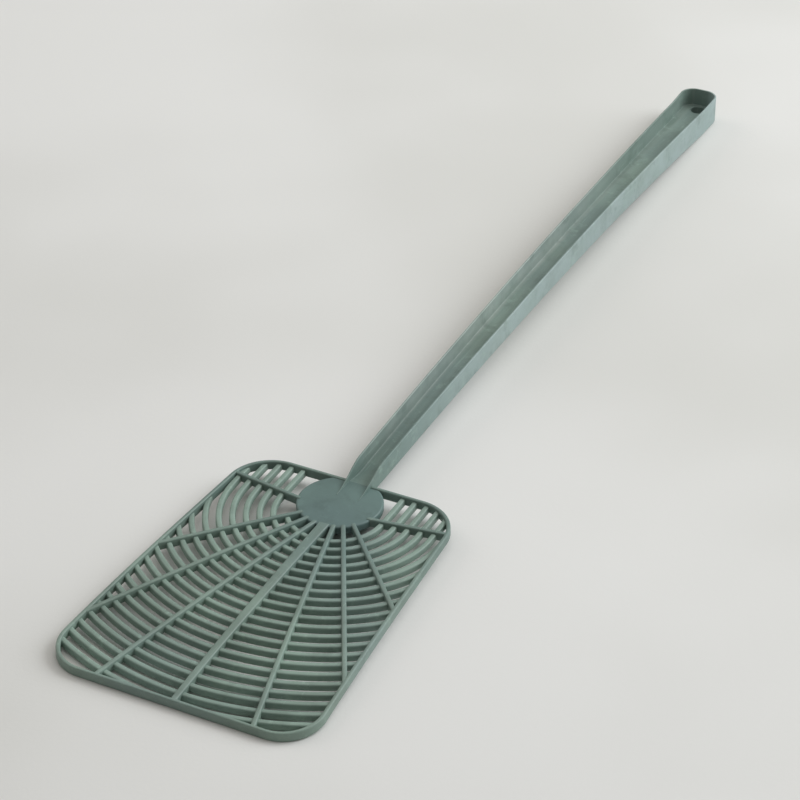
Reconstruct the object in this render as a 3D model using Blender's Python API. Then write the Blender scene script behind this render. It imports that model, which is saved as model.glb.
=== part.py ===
"""Moulded plastic fly swatter, lying on its back: a flat slatted blade on a long open-top channel handle.

Units are metres. +Z is up, +Y runs from the blade's tip to the handle's hanging end, +X is to the right.
The origin is on the table, under the middle of the whole length. Lengths along the swatter are given as
s, counted from the blade's hub-side edge: the blade has negative s, the handle positive s.
"""

from math import asin, atan2, ceil, cos, hypot, pi, radians, sin

import bmesh
import bpy

# Overall
BLADE_LENGTH = 0.131
HANDLE_LENGTH = 0.328
HUB_EDGE_Y = BLADE_LENGTH - (BLADE_LENGTH + HANDLE_LENGTH) / 2
AXIS_X = 0.0012          # the handle and the rib fan stand a little right of the blade's middle
GAP = 0.0003             # between members that touch

# Blade outline
HUB_SIDE_WIDTH = 0.0836
TIP_WIDTH = 0.0998
HUB_CORNER_R = 0.0166
TIP_CORNER_R = 0.0144
RIM_WALL = 0.0016
RIM_HEIGHT = 0.0034
BLADE_LIFT = 0.0030      # the flat hub zone stands this far off the table
FLAT_ZONE = 0.031        # from the hub edge, before the blade droops to the table
DROOP_POWER = 2.5

# Hub plate: a disc cut off along the rim, where the ribs fan out from its centre
HUB_R = 0.0154
HUB_CENTRE_S = -0.0134
HUB_THICKNESS = 0.0030
TONGUE_END = 0.0024      # the blade's side of the flexing neck ends here

# Ribs: the s they fan out from, and degrees from straight ahead
RIBS = {
    "inner_rib": (HUB_CENTRE_S, 14.0),
    "middle_rib": (HUB_CENTRE_S, 28.0),
    "outer_rib": (HUB_CENTRE_S, 43.0),
    "cross_rib": (-0.0197, 98.0),
}
RIB_WIDTH = 0.0019
SPINE_WIDTHS = (0.0042, 0.0024)
RIB_TOP = 0.0033
RIB_SEARCH = (0.001, 0.160)     # distances from the hub's centre that hold every rib
SEARCH_STEP = 0.001

# Slats: concentric arcs about one centre, running on straight beyond the half circle
SLAT_CENTRE_S = -0.0183
SLAT_FIRST_R = 0.0174
SLAT_PITCH = 0.00473
SLAT_COUNT = 20
SLAT_WIDTH = 0.0022
SLAT_TOP = 0.0023
ARC_STEP = radians(5.0)
TURN_LIMIT = radians(170.0)     # how far round a slat may go either way
TURN_STEP = radians(0.5)
SLAT_REACH = radians(12.0)      # how much sooner or later than its middle an edge may end
CORNER_REACH = radians(3.0)
SLAT_HUB_GAP = 0.0008    # slats keep this far off the hub's edge
FIRST_SLAT_START = radians(-54.0)       # left of the hub the first slat stops in the outer rib

# Handle: a channel that widens and deepens towards the hanging end
NECK_START = 0.0036      # the handle's side of the flexing neck
HANDLE_STATIONS = (0.0, 0.106, 0.213, 0.319)
HALF_WIDTHS = (0.0050, 0.0059, 0.0066, 0.0081)
WALL_HEIGHTS = (0.0081, 0.0086, 0.0104, 0.0121)
WALL = 0.0010
FLOOR_HEIGHTS = (0.0018, 0.0024, 0.0034, 0.0047)
HANDLE_LIFT = 0.0026     # underside at the neck
ARCH = 0.0178            # makes the middle of the handle stand off the table
STATION_STEP = 0.012

# Hanging end
PAD_START = 0.3110       # from here the underside lies flat on the table
END_CORNER_R = 0.0062
LAND_THICKNESS = 0.0046
HOLE_S = 0.3226
HOLE_R = 0.0031

# Gussets: the handle's walls running out on the hub plate
GUSSET_END = -0.0100
GUSSET_FALL = 1.6        # power of the fall: steep at the neck, gentle at the thin end
GUSSET_TAIL = 0.0004     # height left at the thin end

COLOURS = {
    "blade_plastic": (0.17, 0.25, 0.21, 1.0),
    "hub_plastic": (0.16, 0.22, 0.20, 1.0),
    "handle_plastic": (0.20, 0.28, 0.25, 1.0),
}


def clear_scene():
    for old in list(bpy.data.objects):
        bpy.data.objects.remove(old)


def make_material(name):
    material = bpy.data.materials.new(name)
    material.use_nodes = True
    shader = material.node_tree.nodes["Principled BSDF"]
    shader.inputs["Base Color"].default_value = COLOURS[name]
    shader.inputs["Roughness"].default_value = 0.5
    shader.inputs["Metallic"].default_value = 0.0
    return material


def add_object(name, bm, material):
    """Turns a finished bmesh into a named object with outward faces and smooth round sides."""
    bmesh.ops.remove_doubles(bm, verts=bm.verts, dist=1e-7)
    bmesh.ops.recalc_face_normals(bm, faces=bm.faces)
    mesh = bpy.data.meshes.new(name)
    bm.to_mesh(mesh)
    bm.free()
    mesh.materials.append(material)
    mesh.shade_smooth()
    mesh.set_sharp_from_angle(angle=radians(30.0))
    thing = bpy.data.objects.new(name, mesh)
    bpy.context.scene.collection.objects.link(thing)
    return thing


def interpolate(s, stations, values):
    """Straight-line interpolation, going on at the last slope beyond the end."""
    last = len(stations) - 2
    index = max(i for i in range(last + 1) if i == 0 or s >= stations[i])
    share = (s - stations[index]) / (stations[index + 1] - stations[index])
    return values[index] + share * (values[index + 1] - values[index])


def blade_lift(s):
    """Height of the blade's underside: level at the hub, drooping until the tip bar lies on the table."""
    past = max(0.0, -s - FLAT_ZONE) / (BLADE_LENGTH - RIM_WALL - FLAT_ZONE)
    return BLADE_LIFT * (1.0 - min(past, 1.0) ** DROOP_POWER)


def handle_lift(s):
    """Height of the handle's underside: a shallow arch that lands on the flat pad."""
    t = min(max(s, 0.0) / PAD_START, 1.0)
    return HANDLE_LIFT * (1.0 - t) + ARCH * t * (1.0 - t)


def half_width(s):
    return interpolate(s, HANDLE_STATIONS, HALF_WIDTHS)


def wall_height(s):
    return interpolate(s, HANDLE_STATIONS, WALL_HEIGHTS)


def floor_height(s):
    return interpolate(s, HANDLE_STATIONS, FLOOR_HEIGHTS)


def steps(start, end, longest):
    """Evenly spaced values from start to end, no further apart than longest."""
    count = max(1, ceil(abs(end - start) / longest - 1e-9))
    return [start + (end - start) * i / count for i in range(count + 1)]


# The blade's outline: two straight sides that lean out towards the tip, and four round corners.
SIDE_LEAN = atan2((TIP_WIDTH - HUB_SIDE_WIDTH) / 2, BLADE_LENGTH)


def corner_centre(radius, s):
    """Centre of the right-hand corner circle that touches the side line, at the given s."""
    reach = HUB_SIDE_WIDTH / 2 - (radius + sin(SIDE_LEAN) * s) / cos(SIDE_LEAN)
    return reach, s


HUB_CORNER = corner_centre(HUB_CORNER_R, -HUB_CORNER_R)
TIP_CORNER = corner_centre(TIP_CORNER_R, TIP_CORNER_R - BLADE_LENGTH)


def inside_outline(x, s, inset):
    """Whether a point lies inside the blade's outline moved in by inset."""
    x = abs(x)
    side = (x - HUB_SIDE_WIDTH / 2) * cos(SIDE_LEAN) + s * sin(SIDE_LEAN)
    if s > -inset or s < inset - BLADE_LENGTH or side > -inset:
        return False
    corners = (
        (HUB_CORNER, HUB_CORNER_R, SIDE_LEAN, pi / 2),
        (TIP_CORNER, TIP_CORNER_R, -pi / 2, SIDE_LEAN),
    )
    for centre, radius, low, high in corners:
        across, along = x - centre[0], s - centre[1]
        if low <= atan2(along, across) <= high and hypot(across, along) > radius - inset:
            return False
    return True


def is_open_field(x, s, hub_gap=GAP):
    """Whether a point may hold a rib or a slat: inside the rim and clear of the hub."""
    return inside_outline(x, s, RIM_WALL + GAP) and hypot(x, s - HUB_CENTRE_S) > HUB_R + hub_gap


def bisect(test, good, bad):
    """The last value next to bad for which test still holds, starting from good."""
    for _ in range(30):
        middle = (good + bad) / 2
        if test(middle):
            good = middle
        else:
            bad = middle
    return good


def runs(test, start, end, step):
    """The stretches between start and end where test holds, with exact ends."""
    values = steps(start, end, step)
    found = []
    for before, value in zip([None] + values, values):
        if not test(value):
            continue
        if before is None or not test(before):
            found.append([value if before is None else bisect(test, value, before), value])
        found[-1][1] = value
        after = value + (values[1] - values[0])
        if not test(after):
            found[-1][1] = bisect(test, value, after)
    return found


def longest(found):
    return max(found, key=lambda run: run[1] - run[0])


def strip(sections):
    """A bar swept through four-cornered sections: low left, low right, high right, high left."""
    bm = bmesh.new()
    rings = [[bm.verts.new(corner) for corner in section] for section in sections]
    for here, there in zip(rings, rings[1:]):
        for i in range(4):
            bm.faces.new((here[i], here[(i + 1) % 4], there[(i + 1) % 4], there[i]))
    bm.faces.new(rings[0])
    bm.faces.new(rings[-1])
    return bm


def section(left, right, low, high):
    """One strip section between two plan points (x, s), from height low to height high of s."""
    (xl, sl), (xr, sr) = left, right
    return (
        (xl, sl + HUB_EDGE_Y, low(sl)),
        (xr, sr + HUB_EDGE_Y, low(sr)),
        (xr, sr + HUB_EDGE_Y, high(sr)),
        (xl, sl + HUB_EDGE_Y, high(sl)),
    )


def above(lift, height):
    """The height function that stays the given height above an underside."""
    return lambda s: lift(s) + height


def prism(points, low, high):
    """A plate with the given plan outline (x, s), between two fixed heights."""
    bm = bmesh.new()
    base = bm.faces.new([bm.verts.new((x, s + HUB_EDGE_Y, low)) for x, s in points])
    raised = bmesh.ops.extrude_face_region(bm, geom=[base])["geom"]
    bmesh.ops.translate(bm, verts=[v for v in raised if isinstance(v, bmesh.types.BMVert)],
                        vec=(0.0, 0.0, high - low))
    return bm


def arc_points(centre, radius, start, end, step=radians(9.0)):
    """Points on a circle about a plan centre, with angles counted from +X towards +s."""
    angles = steps(start, end, step)
    return [(centre[0] + radius * cos(a), centre[1] + radius * sin(a)) for a in angles]


def rim_path(inset):
    """The rim line moved in by inset, from the neck's right side round the tip to its left side."""
    right = arc_points(HUB_CORNER, HUB_CORNER_R - inset, pi / 2, SIDE_LEAN)
    bottom = arc_points(TIP_CORNER, TIP_CORNER_R - inset, SIDE_LEAN, -pi / 2)
    (x1, s1), (x2, s2) = right[-1], bottom[0]
    right += [(x1 + (x2 - x1) * k, s1 + (s2 - s1) * k) for k in steps(0.0, 1.0, 0.1)[1:-1]]
    right += bottom
    neck = half_width(0.0) + GAP
    left = [(-x, s) for x, s in reversed(right)]
    return [(AXIS_X + neck, -inset)] + right + left + [(AXIS_X - neck, -inset)]


def build_rim(material):
    top = above(blade_lift, RIM_HEIGHT)
    pairs = zip(rim_path(RIM_WALL), rim_path(0.0))
    add_object("rim_frame", strip([section(*pair, blade_lift, top) for pair in pairs]), material)


def build_hub(material):
    """The smooth hub, with a tongue that reaches into the neck between the gussets."""
    tongue = half_width(0.0) - WALL - GAP
    cut = -RIM_WALL - GAP
    cut_angle = asin((cut - HUB_CENTRE_S) / HUB_R)
    outline = [
        (AXIS_X + tongue, cut),
        (AXIS_X + tongue, TONGUE_END),
        (AXIS_X - tongue, TONGUE_END),
        (AXIS_X - tongue, cut),
    ]
    outline += arc_points((0.0, HUB_CENTRE_S), HUB_R, pi - cut_angle, 2 * pi + cut_angle)
    add_object("hub_plate", prism(outline, BLADE_LIFT, BLADE_LIFT + HUB_THICKNESS), material)


def build_gusset(name, side, material):
    """A handle wall's continuation: full height at the neck, running out on top of the hub plate."""
    hub_top = BLADE_LIFT + HUB_THICKNESS + GAP
    wall_top = HANDLE_LIFT + wall_height(0.0)
    outer = AXIS_X + side * half_width(0.0)
    inner = outer - side * WALL
    low = hub_top + GUSSET_TAIL
    profile = [(GAP, HANDLE_LIFT), (TONGUE_END, HANDLE_LIFT)]
    for t in steps(0.0, 1.0, 0.125):
        s = TONGUE_END + (GUSSET_END - TONGUE_END) * t
        profile.append((s, low + (wall_top - low) * (1.0 - t) ** GUSSET_FALL))
    profile += [(GUSSET_END, hub_top), (GAP, hub_top)]
    bm = bmesh.new()
    base = bm.faces.new([bm.verts.new((outer, s + HUB_EDGE_Y, z)) for s, z in profile])
    moved = bmesh.ops.extrude_face_region(bm, geom=[base])["geom"]
    bmesh.ops.translate(bm, verts=[v for v in moved if isinstance(v, bmesh.types.BMVert)],
                        vec=(inner - outer, 0.0, 0.0))
    add_object(name, bm, material)


def build_rib(name, fan_s, angle, widths, material):
    """A straight rib on top of the slats, from the hub's edge to the rim, at an angle to the centre line."""
    ahead = (sin(angle), -cos(angle))
    across = (cos(angle), sin(angle))

    def on_edge(distance, side, width):
        x = AXIS_X + ahead[0] * distance + side * across[0] * width / 2
        return x, fan_s + ahead[1] * distance + side * across[1] * width / 2

    limits = []
    for side in (-1, 1):
        found = runs(lambda d: is_open_field(*on_edge(d, side, widths[0])), *RIB_SEARCH, SEARCH_STEP)
        limits.append(longest(found))
    sections = []
    for share in steps(0.0, 1.0, 0.1):
        width = widths[0] + (widths[1] - widths[0]) * share
        ends = [on_edge(low + (high - low) * share, side, width)
                for (low, high), side in zip(limits, (-1, 1))]
        sections.append(section(*ends, above(blade_lift, SLAT_TOP + GAP), above(blade_lift, RIB_TOP)))
    add_object(name, strip(sections), material)


def slat_point(radius, angle):
    """A plan point on a slat line, with the angle counted from the tip direction towards +X."""
    turn = min(max(angle, -pi / 2), pi / 2)
    leg = radius * abs(angle - turn)
    return AXIS_X + radius * sin(turn), SLAT_CENTRE_S - radius * cos(turn) + leg


def build_slat(name, radius, low, high, material):
    """One arc-shaped bar; each edge stops at the rim or the hub on its own, between low and high."""
    limits = []
    for edge in (radius - SLAT_WIDTH / 2, radius + SLAT_WIDTH / 2):
        limits.append(longest(slat_runs(edge, low, high)))
    (inner_start, inner_end), (outer_start, outer_end) = limits
    sections = []
    for share in steps(0.0, 1.0, ARC_STEP / (high - low)):
        inner = slat_point(radius - SLAT_WIDTH / 2, inner_start + (inner_end - inner_start) * share)
        outer = slat_point(radius + SLAT_WIDTH / 2, outer_start + (outer_end - outer_start) * share)
        sections.append(section(inner, outer, blade_lift, above(blade_lift, SLAT_TOP)))
    add_object(name, strip(sections), material)


def slat_runs(radius, low, high):
    """The stretches of a slat line that lie in the open field, as pairs of angles."""
    return runs(lambda a: is_open_field(*slat_point(radius, a), SLAT_HUB_GAP), low, high, TURN_STEP)


def build_slats(material):
    """Full arcs out to the tip bar, then the two short ones that fill the tip corners."""
    for index in range(SLAT_COUNT):
        radius = SLAT_FIRST_R + SLAT_PITCH * index
        first = -TURN_LIMIT if index else FIRST_SLAT_START
        start, end = longest(slat_runs(radius, first, TURN_LIMIT))
        low = max(start - SLAT_REACH, first)
        build_slat(f"slat_{index + 1:02d}", radius, low, end + SLAT_REACH, material)
    radius = SLAT_FIRST_R + SLAT_PITCH * SLAT_COUNT
    corners = slat_runs(radius + SLAT_WIDTH / 2, -TURN_LIMIT, TURN_LIMIT)
    for side, (start, end) in zip(("left", "right"), corners):
        build_slat(f"corner_slat_{side}", radius, start - CORNER_REACH, end + CORNER_REACH, material)


def build_handle_wall(name, side, end, material):
    sections = []
    for s in steps(NECK_START, PAD_START, STATION_STEP) + [end]:
        outer = AXIS_X + side * half_width(s)
        inner = outer - side * WALL
        sections.append(section((inner, s), (outer, s), handle_lift, above(handle_lift, wall_height(s))))
    add_object(name, strip(sections), material)


def build_handle_floor(material):
    sections = []
    for s in steps(NECK_START, PAD_START - GAP, STATION_STEP):
        reach = half_width(s) - WALL - GAP
        edges = (AXIS_X - reach, s), (AXIS_X + reach, s)
        sections.append(section(*edges, handle_lift, above(handle_lift, floor_height(s))))
    add_object("handle_floor", strip(sections), material)


def end_path(inset):
    """The handle's round end in plan, from its right wall to its left wall, moved in by inset."""
    straight = HANDLE_LENGTH - END_CORNER_R
    reach = half_width(straight)
    turn = END_CORNER_R - inset
    right = [(reach - inset, straight)]
    right += arc_points((reach - END_CORNER_R, straight), turn, 0.0, pi / 2)[1:]
    return [(AXIS_X + x, s) for x, s in right] + [(AXIS_X - x, s) for x, s in reversed(right)]


def build_end_wall(material):
    pairs = zip(end_path(WALL), end_path(0.0))
    top = wall_height(HANDLE_LENGTH - END_CORNER_R)
    sections = [section(inner, outer, handle_lift, lambda s: top) for inner, outer in pairs]
    add_object("grip_end_wall", strip(sections), material)


def build_hang_land(material):
    """The thick level floor of the hanging end, drilled through for a hook or a nail."""
    reach = half_width(PAD_START) - WALL - GAP
    outline = [(AXIS_X - reach, PAD_START), (AXIS_X + reach, PAD_START)] + end_path(WALL + GAP)
    land = add_object("hang_land", prism(outline, 0.0, LAND_THICKNESS), material)
    drill = bmesh.new()
    bmesh.ops.create_cone(drill, cap_ends=True, segments=32, radius1=HOLE_R, radius2=HOLE_R,
                          depth=4 * LAND_THICKNESS)
    bmesh.ops.translate(drill, verts=drill.verts, vec=(AXIS_X, HOLE_S + HUB_EDGE_Y, 0.0))
    cutter = add_object("hang_hole_cutter", drill, material)
    cutter.hide_render = True
    cutter.display_type = "WIRE"
    cut = land.modifiers.new("hang_hole", "BOOLEAN")
    cut.operation = "DIFFERENCE"
    cut.solver = "EXACT"
    cut.object = cutter


def build_blade(blade_material, hub_material):
    rib_widths = (RIB_WIDTH, RIB_WIDTH)
    build_rim(blade_material)
    build_hub(hub_material)
    build_slats(blade_material)
    build_rib("spine", HUB_CENTRE_S, 0.0, SPINE_WIDTHS, blade_material)
    for side_name, side in (("left", -1), ("right", 1)):
        build_gusset(f"neck_gusset_{side_name}", side, hub_material)
        for rib_name, (fan_s, angle) in RIBS.items():
            turn = side * radians(angle)
            build_rib(f"{rib_name}_{side_name}", fan_s, turn, rib_widths, blade_material)


def build_handle(material):
    wall_end = HANDLE_LENGTH - END_CORNER_R - GAP
    build_handle_wall("handle_wall_left", -1, wall_end, material)
    build_handle_wall("handle_wall_right", 1, wall_end, material)
    build_handle_floor(material)
    build_end_wall(material)
    build_hang_land(material)


clear_scene()
build_blade(make_material("blade_plastic"), make_material("hub_plastic"))
build_handle(make_material("handle_plastic"))
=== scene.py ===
"""Looks of the moulded plastic fly swatter: one springy moulding, lying on its back on a pale table.

Units are metres. +Z is up, +Y runs from the blade's tip to the handle's hanging end. Lengths along the
swatter are given as s, counted from the blade's hub-side edge: the blade has negative s, the handle
positive s.
"""

from math import asin, atan2, ceil, cos, hypot, pi, radians, sin

import bmesh
import bpy
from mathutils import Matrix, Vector


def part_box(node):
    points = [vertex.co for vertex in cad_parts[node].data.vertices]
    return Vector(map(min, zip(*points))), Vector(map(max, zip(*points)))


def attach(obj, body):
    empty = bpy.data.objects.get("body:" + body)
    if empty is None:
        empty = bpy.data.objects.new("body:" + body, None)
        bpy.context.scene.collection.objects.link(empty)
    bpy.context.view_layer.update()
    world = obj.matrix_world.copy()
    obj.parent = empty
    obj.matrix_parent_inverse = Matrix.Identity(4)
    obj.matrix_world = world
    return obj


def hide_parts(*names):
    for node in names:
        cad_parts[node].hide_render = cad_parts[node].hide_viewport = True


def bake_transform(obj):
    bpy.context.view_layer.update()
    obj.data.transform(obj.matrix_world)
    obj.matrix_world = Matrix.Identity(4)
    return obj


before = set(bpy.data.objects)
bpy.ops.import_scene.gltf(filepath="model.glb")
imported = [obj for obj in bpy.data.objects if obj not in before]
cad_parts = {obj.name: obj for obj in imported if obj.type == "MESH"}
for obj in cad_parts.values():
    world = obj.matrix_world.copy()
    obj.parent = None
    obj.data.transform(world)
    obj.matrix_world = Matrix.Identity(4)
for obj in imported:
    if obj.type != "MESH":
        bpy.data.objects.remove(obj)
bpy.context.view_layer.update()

# Places read from the CAD parts in model.glb
RIM_LOW, RIM_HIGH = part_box("rim_frame")
SPINE_LOW, SPINE_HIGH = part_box("spine")
HUB_EDGE_Y = RIM_HIGH.y
AXIS_X = (SPINE_LOW.x + SPINE_HIGH.x) / 2
BLADE_LENGTH = RIM_HIGH.y - RIM_LOW.y
HANDLE_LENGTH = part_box("grip_end_wall")[1].y - HUB_EDGE_Y

# Blade outline, as the CAD has it
HUB_SIDE_WIDTH = 0.0836
TIP_WIDTH = 0.0998
HUB_CORNER_R = 0.0166
TIP_CORNER_R = 0.0144
RIM_WALL = 0.0016
RIM_HEIGHT = 0.0034
BLADE_LIFT = 0.0030
FLAT_ZONE = 0.031
DROOP_POWER = 2.5

# Hub, ribs and slats
HUB_R = 0.0154
HUB_CENTRE_S = -0.0134
HUB_THICKNESS = 0.0030
HUB_TOP = BLADE_LIFT + HUB_THICKNESS
RIBS = {
    "inner_rib": (HUB_CENTRE_S, 14.0),
    "middle_rib": (HUB_CENTRE_S, 28.0),
    "outer_rib": (HUB_CENTRE_S, 43.0),
    "cross_rib": (-0.0197, 98.0),
}
RIB_WIDTH = 0.0019
SPINE_WIDTHS = (0.0042, 0.0024)
RIB_HEIGHT = 0.0033
SLAT_CENTRE_S = -0.0183
SLAT_FIRST_R = 0.0174
SLAT_PITCH = 0.00473
SLAT_COUNT = 20
SLAT_WIDTH = 0.0022
SLAT_HEIGHT = 0.0025
SLAT_RAISE = 0.0001       # slats start this far above the rim's underside
RIB_RAISE = 0.0002
RIB_SUNK = 0.0012         # how far the ends reach into the hub
SLAT_SUNK = 0.0002
RIB_SEARCH = (0.001, 0.160)     # distances from the hub's centre that hold every rib
RIB_STEP = 0.001
TURN_STEP = radians(0.5)
SLAT_REACH = radians(12.0)      # how much sooner or later than its middle an edge may end
CORNER_REACH = radians(3.0)
TURN_LIMIT = radians(170.0)
FIRST_SLAT_START = radians(-54.0)       # left of the hub the first slat stops in the outer rib

# Handle
HANDLE_STATIONS = (0.0, 0.106, 0.213, 0.319)
HALF_WIDTHS = (0.0050, 0.0059, 0.0066, 0.0081)
WALL_HEIGHTS = (0.0081, 0.0086, 0.0104, 0.0121)
WALL = 0.0010
FLOOR_HEIGHTS = (0.0018, 0.0024, 0.0034, 0.0047)
DRAFT = 0.0001            # how far a wall's sides lean in
CREST_R = 0.00028         # rounding of a wall's top edges
FOOT_R = 0.0012           # rounding of its bottom edge
FILLET = 0.0004           # between a wall and the floor
HANDLE_LIFT = 0.0026
ARCH = 0.0178
PAD_START = 0.3110
END_CORNER_R = 0.0062
LAND_THICKNESS = 0.0046
HOLE_S = 0.3226
HOLE_R = 0.0031
HOLE_EDGE_R = 0.0004
WALL_END_S = HANDLE_LENGTH - END_CORNER_R
END_OVERLAP = 0.0008      # how far the round end reaches back into the walls
END_SUNK = 0.00015
TUCK = 0.0002             # how far a floor reaches in under the wall's fillet

# Where the handle runs out on the hub
GUSSET_START = 0.0085
GUSSET_END = -0.0100
GUSSET_THINNING = 0.32    # share of a wall's width that goes on each side at its thin end
GUSSET_FOOT_R = 0.0002
RAMP_START = 0.009        # the floor rises between these two places
RAMP_END = -0.003
FLOOR_START = -0.0045
NECK_OVERLAP = 0.0005     # how far the rim reaches in beside the neck's walls

# Stations along the handle lie close together up to just past this place
BEND_HANDLE_S = 0.018

# Camera, aimed at a point on the table
VIEW_AZIMUTH = radians(-26.727)
VIEW_ELEVATION = radians(33.3055)
VIEW_DISTANCE = 1.03306
VIEW_AIM = (-0.01444, -0.03651)
LENS_MM = 124.544

MIRROR = (("left", -1), ("right", 1))

# Base colours
HUB_COLOUR = (0.112, 0.177, 0.164)
LEFT_WALL_PAINTED_LIGHT = (0.43, 0.47, 0.44)          # painted light on the left wall, where window light from the right falls over the right wall onto its inside
SHADED = (0.150, 0.212, 0.182)     # painted shade: the same wall near the hanging end, darker where the right wall shadows it
RIGHT_WALL_PAINTED_LIGHT = (0.312, 0.392, 0.388)      # painted light: the outside of the right wall, lighter and cooler where the window light falls on it


# ---------------------------------------------------------------- shape helpers

def steps(start, end, longest):
    """Evenly spaced values from start to end, no further apart than longest."""
    count = max(1, ceil(abs(end - start) / longest - 1e-9))
    return [start + (end - start) * i / count for i in range(count + 1)]


def interpolate(s, stations, values):
    """Straight-line interpolation, going on at the last slope beyond the end."""
    last = len(stations) - 2
    index = max(i for i in range(last + 1) if i == 0 or s >= stations[i])
    share = (s - stations[index]) / (stations[index + 1] - stations[index])
    return values[index] + share * (values[index + 1] - values[index])


def ease(value, start, end):
    """Goes smoothly from 0 at start to 1 at end."""
    t = min(max((value - start) / (end - start), 0.0), 1.0)
    return t * t * (3.0 - 2.0 * t)


def blade_lift(s):
    past = max(0.0, -s - FLAT_ZONE) / (BLADE_LENGTH - RIM_WALL - FLAT_ZONE)
    return BLADE_LIFT * (1.0 - min(past, 1.0) ** DROOP_POWER)


def handle_lift(s):
    t = min(max(s, 0.0) / PAD_START, 1.0)
    return HANDLE_LIFT * (1.0 - t) + ARCH * t * (1.0 - t)


def half_width(s):
    return interpolate(s, HANDLE_STATIONS, HALF_WIDTHS)


def wall_height(s):
    return interpolate(s, HANDLE_STATIONS, WALL_HEIGHTS)


def arc(centre, radius, start, end, step=radians(6.0)):
    """Points on a circle, with angles counted from the first axis towards the second."""
    return [(centre[0] + radius * cos(a), centre[1] + radius * sin(a)) for a in steps(start, end, step)]


def bar_profile(width, height, top_radius, foot_radius, draft, base=0.0):
    """A moulded bar's cross-section as (across, up) points: round corners, sides that lean in."""
    low, high = width / 2, width / 2 - draft
    points = arc((foot_radius - low, base + foot_radius), foot_radius, -pi, -pi / 2, radians(30))
    points += arc((low - foot_radius, base + foot_radius), foot_radius, -pi / 2, 0.0, radians(30))
    points += arc((high - top_radius, height - top_radius), top_radius, 0.0, pi / 2, radians(18))
    return points + arc((top_radius - high, height - top_radius), top_radius, pi / 2, pi, radians(18))


def ring(left, right, lift, profile, width):
    """One section: profile spread between two plan points (x, s), standing on the underside lift(s)."""
    points = []
    for across, up in profile:
        share = across / width + 0.5
        x, s = (a + (b - a) * share for a, b in zip(left, right))
        points.append(Vector((x, s + HUB_EDGE_Y, lift(s) + up)))
    return points


def new_object(name, bm, material):
    """A named, smooth-shaded piece from a finished bmesh, with sharp edges kept sharp."""
    bmesh.ops.remove_doubles(bm, verts=bm.verts, dist=1e-7)
    bmesh.ops.recalc_face_normals(bm, faces=bm.faces)
    mesh = bpy.data.meshes.new(name)
    bm.to_mesh(mesh)
    bm.free()
    mesh.materials.append(material)
    mesh.shade_smooth()
    mesh.set_sharp_from_angle(angle=radians(38.0))
    piece = bpy.data.objects.new(name, mesh)
    bpy.context.scene.collection.objects.link(piece)
    return piece


def sweep(name, rings, material):
    """A solid through rings of points, with equally many in each, closed by the first and the last ring."""
    bm = bmesh.new()
    loops = [[bm.verts.new(point) for point in ring_points] for ring_points in rings]
    for here, there in zip(loops, loops[1:]):
        for i in range(len(here)):
            j = (i + 1) % len(here)
            bm.faces.new((here[i], here[j], there[j], there[i]))
    bm.faces.new(loops[0][::-1])
    bm.faces.new(loops[-1])
    return new_object(name, bm, material)


# ---------------------------------------------------------------- the blade's outline

SIDE_LEAN = atan2((TIP_WIDTH - HUB_SIDE_WIDTH) / 2, BLADE_LENGTH)


def corner_centre(radius, s):
    reach = HUB_SIDE_WIDTH / 2 - (radius + sin(SIDE_LEAN) * s) / cos(SIDE_LEAN)
    return reach, s


HUB_CORNER = corner_centre(HUB_CORNER_R, -HUB_CORNER_R)
TIP_CORNER = corner_centre(TIP_CORNER_R, TIP_CORNER_R - BLADE_LENGTH)


def inside_outline(x, s, inset):
    """Whether a point lies inside the blade's outline moved in by inset."""
    x = abs(x)
    side = (x - HUB_SIDE_WIDTH / 2) * cos(SIDE_LEAN) + s * sin(SIDE_LEAN)
    if s > -inset or s < inset - BLADE_LENGTH or side > -inset:
        return False
    corners = (
        (HUB_CORNER, HUB_CORNER_R, SIDE_LEAN, pi / 2),
        (TIP_CORNER, TIP_CORNER_R, -pi / 2, SIDE_LEAN),
    )
    for centre, radius, low, high in corners:
        across, along = x - centre[0], s - centre[1]
        if low <= atan2(along, across) <= high and hypot(across, along) > radius - inset:
            return False
    return True


def in_field(x, s, sunk):
    """Whether a slat or a rib may reach this point: it ends halfway into the rim, or sunk in the hub."""
    return inside_outline(x, s, RIM_WALL * 0.5) and hypot(x, s - HUB_CENTRE_S) > HUB_R - sunk


def bisect(test, good, bad):
    """The last value next to bad for which test still holds, starting from good."""
    for _ in range(30):
        middle = (good + bad) / 2
        if test(middle):
            good = middle
        else:
            bad = middle
    return good


def runs(test, start, end, step):
    """The stretches between start and end where test holds, with exact ends."""
    values = steps(start, end, step)
    found = []
    for before, value in zip([None] + values, values):
        if not test(value):
            continue
        if before is None or not test(before):
            found.append([value if before is None else bisect(test, value, before), value])
        found[-1][1] = value
        after = value + (values[1] - values[0])
        if not test(after):
            found[-1][1] = bisect(test, value, after)
    return found


def longest(found):
    return max(found, key=lambda run: run[1] - run[0])


# ---------------------------------------------------------------- materials

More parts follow.
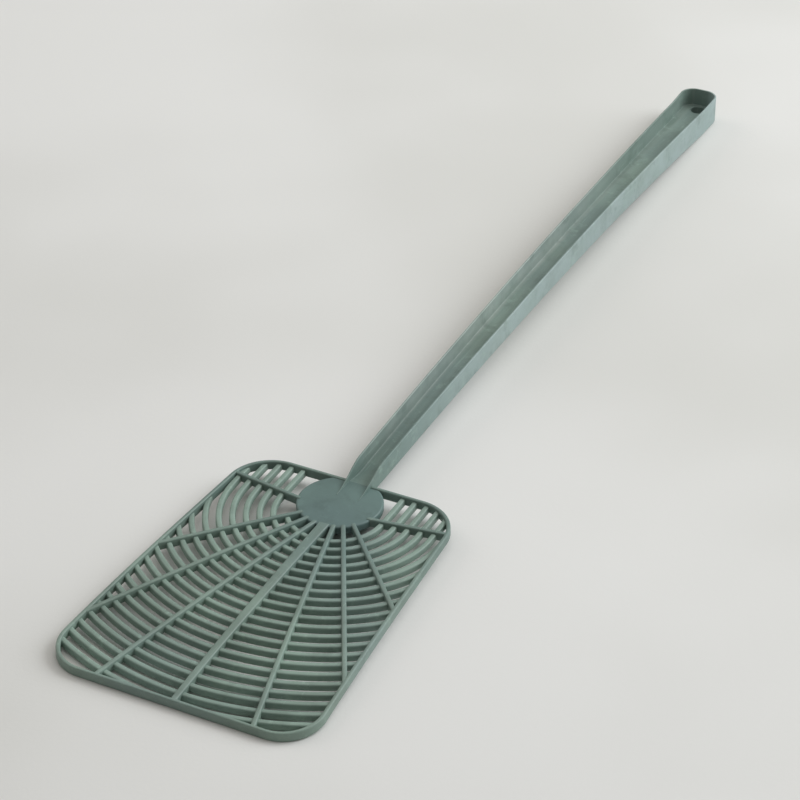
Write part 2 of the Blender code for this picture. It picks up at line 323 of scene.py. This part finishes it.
class Graph:
    """Short calls for building one material's nodes."""

    def __init__(self, name):
        self.material = bpy.data.materials.new(name)
        self.material.use_nodes = True
        self.tree = self.material.node_tree
        self.shader = self.tree.nodes["Principled BSDF"]
        self.place = self.add("ShaderNodeTexCoord").outputs["Object"]

    def add(self, kind, **settings):
        node = self.tree.nodes.new(kind)
        for key, value in settings.items():
            setattr(node, key, value)
        return node

    def link(self, source, target):
        self.tree.links.new(source, target)

    def stretched(self, scale, turn=0.0):
        node = self.add("ShaderNodeMapping")
        self.link(self.place, node.inputs["Vector"])
        node.inputs["Rotation"].default_value = (0.0, 0.0, turn)
        node.inputs["Scale"].default_value = scale
        return node.outputs["Vector"]

    def along(self, axis):
        node = self.add("ShaderNodeSeparateXYZ")
        self.link(self.place, node.inputs["Vector"])
        return node.outputs[axis]

    def noise(self, scale, detail=3.0, roughness=0.5, place=None):
        node = self.add("ShaderNodeTexNoise")
        self.link(place or self.place, node.inputs["Vector"])
        node.inputs["Scale"].default_value = scale
        node.inputs["Detail"].default_value = detail
        node.inputs["Roughness"].default_value = roughness
        return node.outputs["Fac"]

    def window(self, value, low, high, to_low=0.0, to_high=1.0):
        """Turns value between low and high into to_low to to_high, with a soft S and flat ends."""
        node = self.add("ShaderNodeMapRange", interpolation_type="SMOOTHSTEP")
        self.link(value, node.inputs["Value"])
        for key, number in zip(("From Min", "From Max", "To Min", "To Max"), (low, high, to_low, to_high)):
            node.inputs[key].default_value = number
        return node.outputs["Result"]

    def mix(self, factor, one, two):
        node = self.add("ShaderNodeMix", data_type="RGBA")
        self.feed(factor, node.inputs["Factor"])
        self.feed(one, node.inputs["A_Color"] if "A_Color" in node.inputs else node.inputs[6])
        self.feed(two, node.inputs["B_Color"] if "B_Color" in node.inputs else node.inputs[7])
        return node.outputs[2]

    def sums(self, operation, one, two):
        node = self.add("ShaderNodeMath", operation=operation)
        self.feed(one, node.inputs[0])
        self.feed(two, node.inputs[1])
        return node.outputs[0]

    def feed(self, source, target):
        if isinstance(source, bpy.types.NodeSocket):
            self.link(source, target)
        else:
            target.default_value = source

    def bump(self, height, distance, strength=1.0, normal=None):
        node = self.add("ShaderNodeBump")
        self.link(height, node.inputs["Height"])
        node.inputs["Distance"].default_value = distance
        node.inputs["Strength"].default_value = strength
        if normal:
            self.link(normal, node.inputs["Normal"])
        return node.outputs["Normal"]


def shade(colour, factor):
    """A lighter or darker colour, with the fourth channel that a colour socket takes."""
    return tuple(channel * factor for channel in colour) + (1.0,)


def moulded_plastic(name, colour, cool, grain_turn, wear, zones=()):
    """Old satin polypropylene: cloudy colour, dull and shiny patches, fine scratches and pale scuffs.

    Each zone is a colour, its strength, and the x and s between which it comes up, or None where it
    lies all along. Where the second value is the smaller one, the colour comes up the other way.
    """
    graph = Graph(name)
    clouds = graph.noise(38.0, 4.0, 0.55)
    drift = graph.noise(14.0, 2.0, 0.5)
    grime = graph.noise(120.0, 6.0, 0.65)
    scuffs = graph.noise(210.0, 8.0, 0.7)
    hairlines = graph.noise(1.0, 3.0, 0.6, graph.stretched((1500.0, 45.0, 1500.0), grain_turn))
    skin = graph.noise(1900.0, 2.0, 0.5)
    body = graph.mix(graph.window(clouds, 0.32, 0.68), shade(colour, 0.84), shade(colour, 1.12))
    body = graph.mix(graph.window(drift, 0.40, 0.64, 0.0, 0.60), body, shade(cool, 1.0))
    # some zones are the plastic's own tone, others are painted light or painted shade
    for tint, strength, across, along in zones:
        lies = graph.window(graph.noise(75.0, 5.0, 0.6), 0.34, 0.62, 0.55 * strength, strength)
        for axis, limits, offset in (("X", across, AXIS_X), ("Y", along, HUB_EDGE_Y)):
            if limits:
                low, high = sorted(limits)
                ends = (0.0, 1.0) if limits[0] < limits[1] else (1.0, 0.0)
                share = graph.window(graph.along(axis), low + offset, high + offset, *ends)
                lies = graph.sums("MULTIPLY", lies, share)
        body = graph.mix(lies, body, shade(tint, 1.0))
    body = graph.mix(graph.window(grime, 0.52, 0.70, 0.0, 0.38), body, shade(colour, 0.60))
    scuffed = graph.window(scuffs, 0.55, 0.70, 0.0, wear)
    body = graph.mix(scuffed, body, shade(colour, 1.70))
    scratched = graph.window(hairlines, 0.62, 0.70, 0.0, 0.6 * wear)
    body = graph.mix(scratched, body, shade(colour, 1.9))
    graph.link(body, graph.shader.inputs["Base Color"])
    dull = graph.window(clouds, 0.30, 0.70, 0.42, 0.57)
    dull = graph.sums("ADD", dull, graph.sums("MULTIPLY", scuffed, 0.35))
    graph.link(dull, graph.shader.inputs["Roughness"])
    normal = graph.bump(skin, 0.00004, 0.5)
    normal = graph.bump(scuffs, 0.00008, 0.5, normal)
    normal = graph.bump(hairlines, 0.00005, 0.6, normal)
    graph.link(graph.bump(clouds, 0.0006, 0.35, normal), graph.shader.inputs["Normal"])
    graph.shader.inputs["IOR"].default_value = 1.49
    return graph.material


# ---------------------------------------------------------------- blade

def rim_path(inset):
    """The rim line moved in by inset, from inside the neck's right wall round the tip to its left wall."""
    neck = half_width(0.0) - NECK_OVERLAP
    right = arc(HUB_CORNER, HUB_CORNER_R - inset, pi / 2, SIDE_LEAN)
    bottom = arc(TIP_CORNER, TIP_CORNER_R - inset, SIDE_LEAN, -pi / 2)
    top = right[-1]
    shares = steps(0.0, 1.0, 0.04)[1:-1]
    right += [(top[0] + (bottom[0][0] - top[0]) * k, top[1] + (bottom[0][1] - top[1]) * k) for k in shares]
    right += bottom
    right += [(x, inset - BLADE_LENGTH) for x in steps(TIP_CORNER[0], 0.0, 0.004)[1:-1]]
    left = [(-x, s) for x, s in reversed(right)]
    lead = [(x, -inset) for x in steps(AXIS_X + neck, HUB_CORNER[0], 0.003)[:-1]]
    trail = [(x, -inset) for x in steps(-HUB_CORNER[0], AXIS_X - neck, 0.003)[1:]]
    return lead + right + left + trail


def make_rim(material):
    profile = bar_profile(RIM_WALL, RIM_HEIGHT, 0.00055, 0.00035, 0.00008)
    pairs = zip(rim_path(RIM_WALL), rim_path(0.0))
    return sweep("rim", [ring(*pair, blade_lift, profile, RIM_WALL) for pair in pairs], material)


def hub_outline(inset):
    """The hub disc's plan outline moved in by inset, cut off under the rim."""
    cut = -RIM_WALL / 2
    reach = HUB_R - inset
    cut_angle = asin((cut - HUB_CENTRE_S) / reach)
    angles = [pi - cut_angle + (pi + 2 * cut_angle) * k for k in steps(0.0, 1.0, 0.015)]
    points = [(reach * cos(a), HUB_CENTRE_S + reach * sin(a)) for a in angles]
    corner = reach * cos(cut_angle)
    return points + [(corner * (1.0 - 2.0 * k), cut) for k in steps(0.0, 1.0, 0.15)[1:-1]]


def make_hub(material):
    """The smooth hub disc, with a softly rounded top edge and a smaller round below."""
    low, high = 0.00035, 0.0007
    edge = [(low * (1 - sin(a)), low * (1 - cos(a))) for a in steps(0.0, pi / 2, radians(30.0))]
    for a in steps(0.0, pi / 2, radians(18.0)):
        edge.append((high * (1 - cos(a)), HUB_THICKNESS - high * (1 - sin(a))))
    edge.append((0.0010, HUB_THICKNESS))
    loops = []
    for inset, up in edge:
        loops.append([Vector((x, s + HUB_EDGE_Y, BLADE_LIFT + up)) for x, s in hub_outline(inset)])
    return sweep("hub", loops, material)


def make_rib(name, fan_s, angle, widths, material):
    """A straight rib standing proud of the slats, from under the hub to halfway into the rim."""
    ahead = (sin(angle), -cos(angle))
    across = (cos(angle), sin(angle))

    def on_edge(distance, side, width):
        x = AXIS_X + ahead[0] * distance + side * across[0] * width / 2
        return x, fan_s + ahead[1] * distance + side * across[1] * width / 2

    limits = []
    for side in (-1, 1):
        found = runs(lambda d: in_field(*on_edge(d, side, widths[0]), RIB_SUNK), *RIB_SEARCH, RIB_STEP)
        limits.append(longest(found))
    rings = []
    for share in steps(0.0, 1.0, 0.03):
        width = widths[0] + (widths[1] - widths[0]) * share
        ends = [on_edge(low + (high - low) * share, side, width)
                for (low, high), side in zip(limits, (-1, 1))]
        profile = bar_profile(width, RIB_HEIGHT, 0.00055, 0.0003, 0.00012, RIB_RAISE)
        rings.append(ring(*ends, blade_lift, profile, width))
    return sweep(name, rings, material)


def slat_point(radius, angle):
    """A plan point on a slat line: an arc round the tip side, then straight on towards the handle."""
    turn = min(max(angle, -pi / 2), pi / 2)
    leg = radius * abs(angle - turn)
    return AXIS_X + radius * sin(turn), SLAT_CENTRE_S - radius * cos(turn) + leg


def make_slat(name, radius, low, high, material):
    """One arc-shaped fin with a round top; both ends are buried in the rim or the hub."""
    limits = []
    for edge in (radius - SLAT_WIDTH / 2, radius + SLAT_WIDTH / 2):
        limits.append(longest(slat_runs(edge, low, high)))
    (inner_start, inner_end), (outer_start, outer_end) = limits
    profile = bar_profile(SLAT_WIDTH, SLAT_HEIGHT, 0.0006, 0.0003, 0.00010, SLAT_RAISE)
    rings = []
    for share in steps(0.0, 1.0, min(0.1, 0.0025 / (radius * (high - low)))):
        inner = slat_point(radius - SLAT_WIDTH / 2, inner_start + (inner_end - inner_start) * share)
        outer = slat_point(radius + SLAT_WIDTH / 2, outer_start + (outer_end - outer_start) * share)
        rings.append(ring(inner, outer, blade_lift, profile, SLAT_WIDTH))
    return sweep(name, rings, material)


def slat_runs(radius, low, high):
    """The stretches of a slat line that lie in the open field, as pairs of angles."""
    return runs(lambda a: in_field(*slat_point(radius, a), SLAT_SUNK), low, high, TURN_STEP)


def make_slats(material):
    """Full arcs out to the tip bar and the two short ones in the tip corners, each with its node's name."""
    made = []
    for index in range(SLAT_COUNT):
        radius = SLAT_FIRST_R + SLAT_PITCH * index
        first = -TURN_LIMIT if index else FIRST_SLAT_START
        start, end = longest(slat_runs(radius, first, TURN_LIMIT))
        low = max(start - SLAT_REACH, first)
        name = f"slat_{index + 1:02d}"
        made.append((make_slat(f"{name}_fin", radius, low, end + SLAT_REACH, material), name))
    radius = SLAT_FIRST_R + SLAT_PITCH * SLAT_COUNT
    corners = slat_runs(radius + SLAT_WIDTH / 2, -TURN_LIMIT, TURN_LIMIT)
    for side, (start, end) in zip(("left", "right"), corners):
        name = f"corner_slat_{side}"
        fin = make_slat(f"{name}_fin", radius, start - CORNER_REACH, end + CORNER_REACH, material)
        made.append((fin, name))
    return made


# ---------------------------------------------------------------- handle

def floor_top(s):
    """Height of the floor above the underside: it rises towards the end, and ramps up to the hub."""
    plain = min(interpolate(max(s, 0.0), HANDLE_STATIONS, FLOOR_HEIGHTS), LAND_THICKNESS)
    return plain + ease(s, RAMP_START, RAMP_END) * (HUB_TOP - 0.00005 - handle_lift(s) - plain)


def wall_top(s):
    """Height of a wall's crest above the underside: full along the handle, running out on the hub."""
    full = wall_height(max(s, 0.0))
    left = HUB_TOP + 0.0001 - handle_lift(s)
    return left + (full - left) * ease(s, GUSSET_END, GUSSET_START)


def wall_profile(s):
    """A channel wall from its outer face (0) to the end of its inner fillet, as (across, up) points."""
    top, floor = wall_top(s), floor_top(s)
    foot = FOOT_R if s > 0.0 else GUSSET_FOOT_R
    base = 0.0 if s > 0.0 else HUB_THICKNESS / 3
    crest = min(CREST_R, (top - floor) * 0.4)
    fillet = min(FILLET, (top - floor) * 0.45)
    width = WALL + FILLET
    points = [(width - 0.0001, base), (width, base + 0.0001), (width, floor)]
    points += arc((WALL + fillet, floor + fillet), fillet, -pi / 2, -pi, radians(22.5))
    points += arc((WALL - DRAFT - crest, top - crest), crest, 0.0, pi / 2, radians(18.0))
    points += arc((DRAFT + crest, top - crest), crest, pi / 2, pi, radians(18.0))
    points += arc((foot, base + foot), foot, pi, 3 * pi / 2, radians(18.0))
    return [(across - width / 2, up) for across, up in points]


def handle_stations(start, end):
    """Places along the handle: close together in the neck, wider apart beyond it."""
    neck_end = BEND_HANDLE_S + 0.002
    return steps(start, neck_end, 0.001) + steps(neck_end, end, 0.006)[1:]


def make_wall(name, side, material):
    """One side of the channel, from its thin run-out on the hub to the start of the round end."""
    rings = []
    for s in handle_stations(GUSSET_END, WALL_END_S):
        thinned = ease(s, GUSSET_START, GUSSET_END) * (WALL + FILLET) * GUSSET_THINNING
        outer = AXIS_X + side * (half_width(s) - thinned)
        inner = AXIS_X + side * (half_width(s) - WALL - FILLET + thinned)
        rings.append(ring((outer, s), (inner, s), handle_lift, wall_profile(s), WALL + FILLET))
    sunk = [point + Vector((0.0, -0.0008, -0.0008)) for point in rings[0]]
    return sweep(name, [sunk] + rings, material)


def make_floor(material):
    """The channel's floor, from inside the hub to the land at the hanging end."""
    rings = []
    for s in handle_stations(FLOOR_START, PAD_START):
        reach = half_width(s) - WALL - FILLET + TUCK
        top = floor_top(s) - 0.0002 * ease(s, RAMP_END, FLOOR_START)
        base = 0.0 if s > 0.0 else HUB_THICKNESS / 3
        profile = [(-0.5, base), (0.5, base)] + [(across, top) for across in steps(0.5, -0.5, 0.2)]
        rings.append(ring((AXIS_X - reach, s), (AXIS_X + reach, s), handle_lift, profile, 1.0))
    return sweep("channel_floor", rings, material)


def end_path(inset):
    """The handle's round end in plan, from its right wall to its left wall, moved in by inset."""
    lead = WALL_END_S - END_OVERLAP
    reach = half_width(WALL_END_S)
    start = half_width(lead) - inset + (END_SUNK if inset > WALL else -END_SUNK)
    right = [(start, lead), (reach - inset, WALL_END_S)]
    right += arc((reach - END_CORNER_R, WALL_END_S), END_CORNER_R - inset, 0.0, pi / 2)[1:]
    return [(AXIS_X + x, s) for x, s in right] + [(AXIS_X - x, s) for x, s in reversed(right)]


def make_end(material):
    """The wall round the hanging end, which starts just inside the ends of the two side walls."""
    rings = []
    for outer, inner in zip(end_path(0.0), end_path(WALL + FILLET)):
        rings.append(ring(outer, inner, lambda s: 0.0, wall_profile(WALL_END_S), WALL + FILLET))
    return sweep("grip_end", rings, material)


def make_land(material):
    """The thick level floor of the hanging end, with the edges of its hole rounded off."""
    reach = half_width(PAD_START) - WALL - FILLET + TUCK
    outline = [(AXIS_X - reach, PAD_START - 0.0002), (AXIS_X + reach, PAD_START - 0.0002)]
    outline += end_path(WALL + FILLET - TUCK)
    centre = (AXIS_X, HOLE_S)
    corner_angles = [atan2(s - HOLE_S, x - AXIS_X) for x, s in outline[:2]]
    angles = sorted(steps(-pi, pi, radians(5.0))[1:] + corner_angles)

    def outward(angle):
        """Distance from the hole's centre to the outline along a direction."""
        best = None
        dx, ds = cos(angle), sin(angle)
        for (x1, s1), (x2, s2) in zip(outline, outline[1:] + outline[:1]):
            ex, es = x2 - x1, s2 - s1
            cross = dx * es - ds * ex
            if abs(cross) < 1e-12:
                continue
            along = ((x1 - centre[0]) * es - (s1 - centre[1]) * ex) / cross
            share = ((x1 - centre[0]) * ds - (s1 - centre[1]) * dx) / cross
            if along > 0 and -1e-6 <= share <= 1 + 1e-6:
                best = along if best is None else min(best, along)
        return best

    edge = HOLE_EDGE_R
    levels = [(None, 0.0), (HOLE_R + edge, 0.0), (HOLE_R, edge), (HOLE_R, LAND_THICKNESS - edge)]
    levels += [(HOLE_R + edge * (1 - cos(a)), LAND_THICKNESS - edge * (1 - sin(a)))
               for a in steps(0.0, pi / 2, radians(22.5))[1:]]
    levels += [(HOLE_R + 1.5 * edge, LAND_THICKNESS), (None, LAND_THICKNESS)]
    bm = bmesh.new()
    loops = []
    for radius, z in levels:
        loop = []
        for angle in angles:
            distance = outward(angle) if radius is None else radius
            x, s = centre[0] + distance * cos(angle), centre[1] + distance * sin(angle)
            loop.append(bm.verts.new((x, s + HUB_EDGE_Y, z)))
        loops.append(loop)
    for here, there in zip(loops, loops[1:] + loops[:1]):
        for i in range(len(here)):
            j = (i + 1) % len(here)
            bm.faces.new((here[i], here[j], there[j], there[i]))
    return new_object("hang_pad", bm, material)


# ---------------------------------------------------------------- table, light and camera

def make_table():
    graph = Graph("pale_table")
    cloth = graph.noise(3.0, 3.0, 0.5)
    fine = graph.noise(600.0, 4.0, 0.6)
    tone = graph.mix(graph.window(cloth, 0.35, 0.65), (0.645, 0.64, 0.615, 1.0), (0.735, 0.73, 0.715, 1.0))
    graph.link(tone, graph.shader.inputs["Base Color"])
    graph.shader.inputs["Roughness"].default_value = 0.9
    graph.shader.inputs["Specular IOR Level"].default_value = 0.2
    graph.link(graph.bump(fine, 0.0002, 0.2), graph.shader.inputs["Normal"])
    bpy.ops.mesh.primitive_grid_add(x_subdivisions=8, y_subdivisions=8, size=6.0)
    table = bpy.context.object
    table.name = "table_top"
    table.data.materials.append(graph.material)


def make_light(name, direction, distance, size, watts, colour):
    light = bpy.data.lights.new(name, "AREA")
    light.shape = "RECTANGLE"
    light.size, light.size_y = size
    light.energy = watts
    light.color = colour
    lamp = bpy.data.objects.new(name, light)
    towards = Vector(direction).normalized()
    lamp.location = towards * distance
    lamp.rotation_euler = towards.to_track_quat("Z", "Y").to_euler()
    bpy.context.scene.collection.objects.link(lamp)


def make_lights():
    make_light("window", (0.75, 0.60, 0.60), 1.9, (1.3, 1.3), 31.0, (0.93, 0.975, 1.0))
    make_light("ceiling", (0.10, 0.35, 1.00), 1.5, (1.6, 1.6), 9.0, (1.0, 0.985, 0.96))
    make_light("bounce", (-0.90, 0.10, 0.50), 2.4, (1.6, 1.6), 11.0, (1.0, 0.975, 0.93))
    world = bpy.data.worlds.new("room_air")
    world.use_nodes = True
    background = world.node_tree.nodes["Background"]
    background.inputs["Color"].default_value = (1.0, 0.985, 0.95, 1.0)
    background.inputs["Strength"].default_value = 0.27
    bpy.context.scene.world = world


def make_camera():
    forward = Vector((sin(VIEW_AZIMUTH) * cos(VIEW_ELEVATION), cos(VIEW_AZIMUTH) * cos(VIEW_ELEVATION),
                      -sin(VIEW_ELEVATION)))
    lens = bpy.data.cameras.new("photo_view")
    lens.lens = LENS_MM
    lens.sensor_width = 36.0
    lens.clip_end = 20.0
    camera = bpy.data.objects.new("photo_view", lens)
    camera.location = Vector((*VIEW_AIM, 0.0)) - forward * VIEW_DISTANCE
    camera.rotation_euler = forward.to_track_quat("-Z", "Y").to_euler()
    bpy.context.scene.collection.objects.link(camera)
    bpy.context.scene.camera = camera


# ---------------------------------------------------------------- the swatter

def place(piece, body, slot, *nodes):
    """Hangs a piece on one body, in place of the CAD nodes it stands for."""
    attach(piece, body)
    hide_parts(*nodes)


def place_across_neck(piece, slot, *nodes):
    """Leaves a piece on no body, with its placement baked into its mesh, in place of the CAD nodes it
    stands for.
    """
    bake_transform(piece)
    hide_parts(*nodes)


def make_swatter():
    blade = moulded_plastic("blade_moulding", (0.198, 0.270, 0.228), (0.186, 0.252, 0.240), 0.0, 0.35, (
        (HUB_COLOUR, 0.60, None, (-0.070, -0.028)),
    ))
    slats = moulded_plastic("slat_moulding", (0.226, 0.312, 0.264), (0.212, 0.290, 0.272), 0.0, 0.35)
    hub = moulded_plastic("hub_moulding", HUB_COLOUR, (0.106, 0.166, 0.168), 0.5, 0.20)
    handle = moulded_plastic("handle_moulding", (0.206, 0.278, 0.240), (0.188, 0.256, 0.250), 0.0, 0.40, (
        (HUB_COLOUR, 0.66, None, (0.075, 0.004)),
        # painted light on the left wall, from the neck on
        (LEFT_WALL_PAINTED_LIGHT, 0.52, (-0.0028, -0.0050), (-0.002, 0.024)),
        # painted shade on the left wall near the hanging end
        (SHADED, 0.95, (-0.0028, -0.0050), (0.170, 0.285)),
        # painted light on the right wall, fading out towards the hub
        (RIGHT_WALL_PAINTED_LIGHT, 0.85, (0.0010, 0.0058), (0.000, 0.120)),
    ))
    place(make_rim(blade), "blade", "blade_plastic", "rim_frame")
    place(make_hub(hub), "blade", "hub_plastic", "hub_plate")
    spine = make_rib("spine_rib", HUB_CENTRE_S, 0.0, SPINE_WIDTHS, blade)
    place(spine, "blade", "blade_plastic", "spine")
    for side_name, side in MIRROR:
        for rib_name, (fan_s, angle) in RIBS.items():
            node = f"{rib_name}_{side_name}"
            rib = make_rib(f"{node}_bar", fan_s, side * radians(angle), (RIB_WIDTH, RIB_WIDTH), blade)
            place(rib, "blade", "blade_plastic", node)
    for slat, node in make_slats(slats):
        place(slat, "blade", "blade_plastic", node)
    for side_name, side in MIRROR:
        wall = make_wall(f"channel_wall_{side_name}", side, handle)
        place_across_neck(wall, "handle_plastic", f"handle_wall_{side_name}", f"neck_gusset_{side_name}")
    place_across_neck(make_floor(handle), "handle_plastic", "handle_floor")
    place(make_end(handle), "handle", "handle_plastic", "grip_end_wall")
    place(make_land(handle), "handle", "handle_plastic", "hang_land")


bpy.context.scene.view_settings.view_transform = "Standard"
make_camera()
make_table()
make_lights()
make_swatter()
